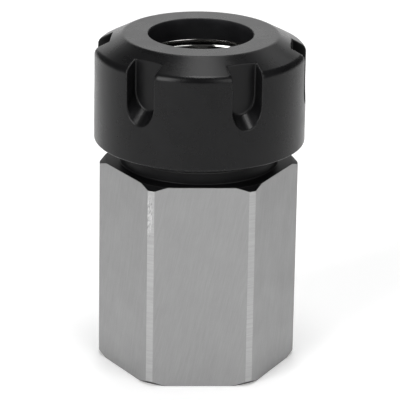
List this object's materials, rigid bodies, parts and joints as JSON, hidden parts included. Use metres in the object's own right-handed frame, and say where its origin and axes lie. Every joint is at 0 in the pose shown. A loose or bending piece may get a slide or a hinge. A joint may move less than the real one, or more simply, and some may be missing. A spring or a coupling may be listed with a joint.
{
  "type": "collet chuck",
  "caption": "Hexagonal collet chuck: a hexagon block with a tapered collet seat, closed by a slotted clamping nut on a fine thread.",
  "frame": {"origin": "centre of the hexagon's base, which is the face that the chuck stands on", "axes": "+Z along the chuck's axis, from the base to the nut's mouth; two opposite flats face +Y and -Y, two opposite corners point to +X and -X"},
  "size_m": [0.05, 0.05, 0.0811],
  "materials": {
    "ground_steel": "ground flats, black shoulder and bores",
    "black_steel": "satin black oxide",
    "bright_steel": "turned"
  },
  "bodies": {
    "block": {"hex_body": "ground_steel"},
    "ring": {"extraction_ring": "bright_steel"},
    "nut": {"clamping_nut": "black_steel"}
  },
  "joints": [
    {"name": "nut_lift", "type": "slide", "parent": "block", "child": "ring", "axis": [0, 0, 1], "range_m": [0, 0.015]},
    {"name": "nut_turn", "type": "hinge", "parent": "ring", "child": "nut", "pos_m": [0, 0, 0.07], "axis": [0, 0, 1], "range_deg": [0, 3600]}
  ],
  "couplings": [
    {"joint": "nut_lift", "follows": "nut_turn", "m_per_rad": 0.00023873}
  ]
}
